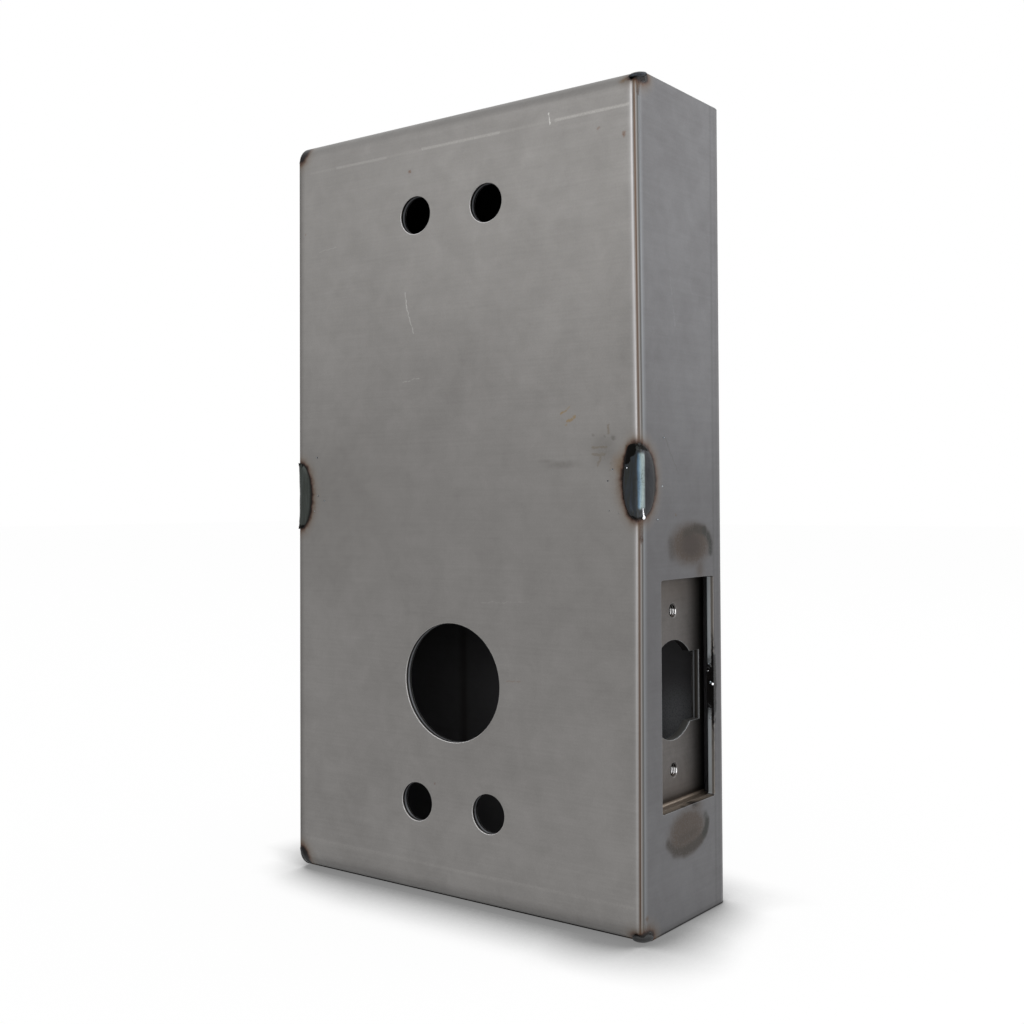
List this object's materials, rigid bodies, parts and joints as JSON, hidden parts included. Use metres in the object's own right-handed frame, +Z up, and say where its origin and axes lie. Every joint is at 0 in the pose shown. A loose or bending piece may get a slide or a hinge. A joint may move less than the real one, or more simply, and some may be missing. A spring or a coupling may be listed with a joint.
{
  "type": "lock keeper box",
  "caption": "Folded sheet-steel lock keeper box for a gate, tack-welded at its seams, with a lock hole and bolt holes through both faces and a latch bracket set in one side.",
  "frame": {"origin": "middle of the base, on the underside of the bottom flange, half way between the front and the back face", "axes": "+X across the front towards the latch side, +Y from the front face to the back panel, +Z up"},
  "size_m": [0.1384, 0.0579, 0.2546],
  "materials": {
    "steel_sheet": "bare rolled sheet, lightly oiled",
    "steel_strap": "bare rolled strap",
    "weld_metal": "dark weld scale"
  },
  "bodies": {
    "root": {"front_channel": "steel_sheet", "rear_channel": "steel_sheet", "latch_bracket": "steel_strap", "side_weld_left": "weld_metal", "side_weld_right": "weld_metal", "corner_weld_top_left": "weld_metal", "corner_weld_top_right": "weld_metal", "corner_weld_bottom_left": "weld_metal", "corner_weld_bottom_right": "weld_metal", "bracket_weld_upper": "weld_metal", "bracket_weld_lower": "weld_metal"}
  },
  "joints": []
}
